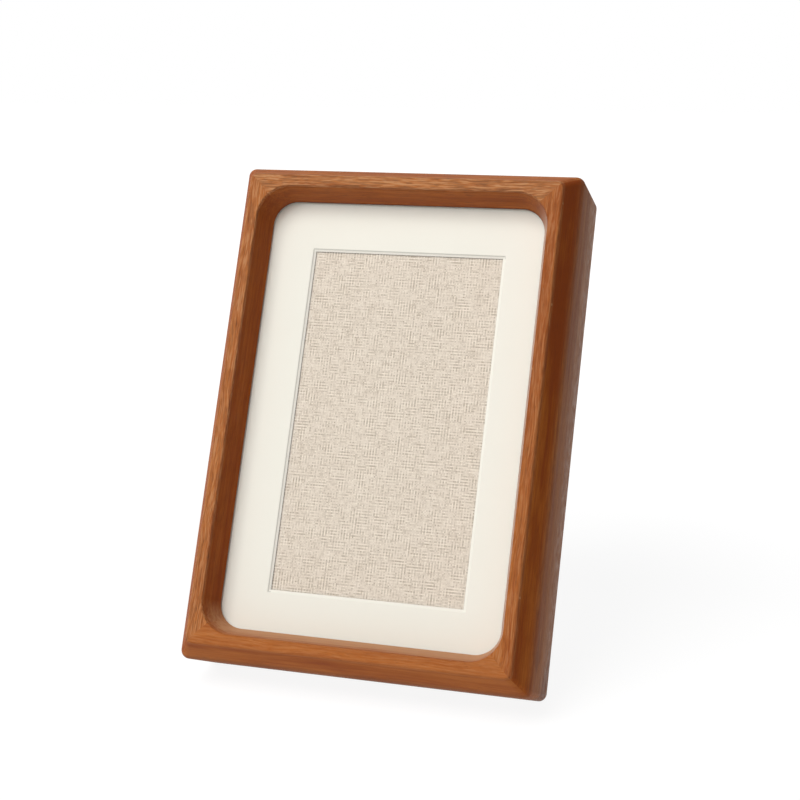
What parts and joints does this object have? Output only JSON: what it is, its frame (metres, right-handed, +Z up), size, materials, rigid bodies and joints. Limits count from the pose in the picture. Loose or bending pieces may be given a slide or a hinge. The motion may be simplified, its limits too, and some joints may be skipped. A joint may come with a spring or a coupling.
{
  "type": "easel back photo frame",
  "caption": "Deep bevelled wooden photo frame with glazing, a window mat and a linen insert, standing on a folding easel strut at its back.",
  "frame": {"origin": "on the table, under the middle of the standing frame's box", "axes": "front faces -Y, +X to the right as seen from the front, +Z up from the table"},
  "size_m": [0.115, 0.0966, 0.1607],
  "materials": {
    "frame_wood": "oiled reddish brown hardwood, fine open pores",
    "spacer_wood": "bare pine",
    "cream_mat": "matte, fine tooth",
    "linen_cloth": "plain weave with slubs",
    "grey_card": "matte grey board",
    "fibreboard": "smooth brown fibreboard",
    "clear_glass": "clear polished",
    "button_steel": "satin zinc plate",
    "hinge_steel": "satin zinc plate",
    "pin_steel": "satin zinc plate",
    "rivet_steel": "satin zinc plate",
    "screw_steel": "satin zinc plate",
    "wedge_steel": "satin zinc plate"
  },
  "bodies": {
    "frame": {"top_rail": "frame_wood", "bottom_rail": "frame_wood", "left_stile": "frame_wood", "right_stile": "frame_wood", "spacer_left": "spacer_wood", "spacer_right": "spacer_wood", "spacer_top": "spacer_wood", "spacer_bottom": "spacer_wood", "corner_wedges": "wedge_steel", "glazing": "clear_glass", "mat_board": "cream_mat", "linen_facing": "linen_cloth", "display_card": "grey_card", "backing_board": "fibreboard", "turn_button_screws": "screw_steel", "hinge_fixed_leaf": "hinge_steel", "hinge_pin": "pin_steel", "fixed_leaf_rivets": "rivet_steel"},
    "easel_strut": {"strut": "fibreboard", "hinge_moving_leaf": "hinge_steel", "moving_leaf_rivets": "rivet_steel"},
    "turn_button_left_upper": {"turn_button_left_upper": "button_steel"},
    "turn_button_left_lower": {"turn_button_left_lower": "button_steel"},
    "turn_button_right_upper": {"turn_button_right_upper": "button_steel"},
    "turn_button_right_lower": {"turn_button_right_lower": "button_steel"}
  },
  "joints": [
    {"name": "strut_fold", "type": "hinge", "parent": "frame", "child": "easel_strut", "pos_m": [0, 0.02986, 0.10129], "axis": [-1, 0, 0], "range_deg": [0, 32]},
    {"name": "swivel_left_upper", "type": "hinge", "parent": "frame", "child": "turn_button_left_upper", "pos_m": [-0.055, 0.03457, 0.1189], "axis": [0, 0.9135, -0.4067], "continuous": true},
    {"name": "swivel_left_lower", "type": "hinge", "parent": "frame", "child": "turn_button_left_lower", "pos_m": [-0.055, -0.00447, 0.0312], "axis": [0, 0.9135, -0.4067], "continuous": true},
    {"name": "swivel_right_upper", "type": "hinge", "parent": "frame", "child": "turn_button_right_upper", "pos_m": [0.055, 0.03457, 0.1189], "axis": [0, 0.9135, -0.4067], "continuous": true},
    {"name": "swivel_right_lower", "type": "hinge", "parent": "frame", "child": "turn_button_right_lower", "pos_m": [0.055, -0.00447, 0.0312], "axis": [0, 0.9135, -0.4067], "continuous": true}
  ]
}
